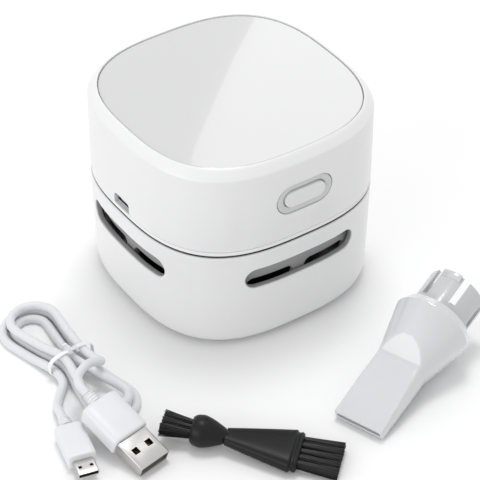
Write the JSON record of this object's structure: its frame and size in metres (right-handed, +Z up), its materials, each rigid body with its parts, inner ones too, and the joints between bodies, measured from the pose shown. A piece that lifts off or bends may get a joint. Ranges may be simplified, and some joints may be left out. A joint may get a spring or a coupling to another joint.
{
  "type": "desktop mini vacuum cleaner set",
  "caption": "Rounded-square cordless desk vacuum with a glossy top, side exhaust slots and a power button, laid out with a crevice nozzle, a cleaning brush and a tied charging cable.",
  "frame": {"origin": "on the table, at the middle of the box round the vacuum, the nozzle and the brush", "axes": "+Z up, away from the table; +Y from the loose accessories towards the back of the vacuum; -Y is the side with the power button and -X the side with the charging socket"},
  "size_m": [0.1477, 0.1547, 0.0745],
  "materials": {
    "white_shell": "satin white ABS",
    "white_band": "satin white ABS",
    "gloss_panel": "mirror-glossy white acrylic",
    "button_white": "satin white ABS",
    "dish_grey": "matt light grey",
    "grille_grey": "matt mid grey",
    "dark_plastic": "matt black ABS",
    "bowl_smoke": "smoky dark polycarbonate",
    "seal_rubber": "soft black rubber",
    "foot_rubber": "grey rubber",
    "strip_nylon": "short black nylon pile",
    "filter_black": "matt black ABS",
    "filter_white": "white non-woven filter cloth",
    "steel": "plain bright steel",
    "brass": "thin sprung brass",
    "board_green": "green circuit board",
    "chip_black": "black component resin",
    "capacitor_blue": "blue plastic sleeve",
    "cell_blue": "blue shrink wrap",
    "lead_red": "red lead insulation",
    "lead_black": "black lead insulation",
    "nozzle_clear": "cloudy translucent grey-white plastic",
    "collar_grey": "glossy light grey plastic",
    "brush_black": "satin charcoal plastic",
    "bristle_black": "charcoal nylon strands",
    "cord_white": "soft white jacket",
    "plug_white": "satin white moulding",
    "tie_white": "white plastic-coated tie",
    "plug_steel": "plated plug shell"
  },
  "bodies": {
    "base": {"lower_housing": "white_shell", "exhaust_grille": "grille_grey", "suction_ring": "dark_plastic", "dust_bowl": "bowl_smoke", "inlet_tube": "bowl_smoke", "bowl_seal": "seal_rubber", "foot_rear_right": "foot_rubber", "foot_rear_left": "foot_rubber", "foot_front_left": "foot_rubber", "foot_front_right": "foot_rubber", "bristle_strip_front": "strip_nylon", "bristle_strip_rear": "strip_nylon"},
    "filter": {"filter_frame": "filter_black", "filter_mesh": "filter_white"},
    "upper": {"chassis_plate": "white_band", "fan_cover": "dark_plastic", "cover_screw_1": "steel", "cover_screw_2": "steel", "cover_screw_3": "steel", "chassis_screw_1": "steel", "chassis_screw_2": "steel", "chassis_screw_3": "steel", "chassis_screw_4": "steel", "motor_can": "steel", "motor_end_cap": "dark_plastic", "motor_clamp": "filter_black", "motor_screw_1": "steel", "motor_screw_2": "steel", "upper_housing": "white_shell", "top_panel": "gloss_panel", "button_bezel": "dish_grey", "tact_switch": "chip_black", "switch_board": "board_green", "control_board": "board_green", "charging_socket": "steel", "charge_chip": "chip_black", "capacitor": "capacitor_blue", "battery_cell": "cell_blue", "battery_cradle": "filter_black", "battery_terminal_plus": "brass", "battery_terminal_minus": "brass", "battery_lead_black": "lead_black", "battery_lead_red": "lead_red", "motor_lead_red": "lead_red", "motor_lead_black": "lead_black"},
    "fan": {"impeller": "dark_plastic", "motor_shaft": "steel"},
    "button": {"power_button": "button_white"},
    "nozzle": {"nozzle_body": "nozzle_clear", "nozzle_collar": "collar_grey"},
    "brush": {"brush_handle": "brush_black", "brush_wide_bristles": "bristle_black", "brush_narrow_bristles": "bristle_black"},
    "cable": {"cable_cord": "cord_white", "cable_tie": "tie_white", "usb_a_mold": "plug_white", "usb_a_shell": "plug_steel", "micro_usb_mold": "plug_white", "micro_usb_shell": "plug_steel"}
  },
  "joints": [
    {"name": "upper_lift", "type": "slide", "parent": "base", "child": "upper", "axis": [0, 0, 1], "range_m": [0, 0.045]},
    {"name": "filter_lift", "type": "slide", "parent": "base", "child": "filter", "axis": [0, 0, 1], "range_m": [0, 0.0035]},
    {"name": "fan_spin", "type": "hinge", "parent": "upper", "child": "fan", "pos_m": [0.01332, 0.03335, 0.045], "axis": [0, 0, 1], "continuous": true},
    {"name": "button_press", "type": "slide", "parent": "upper", "child": "button", "axis": [0, 1, 0], "range_m": [0, 0.0008], "stiffness_N_per_m": 600, "springref_m": -0.0008},
    {"name": "nozzle_lift", "type": "slide", "parent": "base", "child": "nozzle", "axis": [0, 0, 1], "range_m": [0, 0.05]},
    {"name": "brush_lift", "type": "slide", "parent": "base", "child": "brush", "axis": [0, 0, 1], "range_m": [0, 0.05]},
    {"name": "cable_lift", "type": "slide", "parent": "base", "child": "cable", "axis": [0, 0, 1], "range_m": [0, 0.05]}
  ]
}
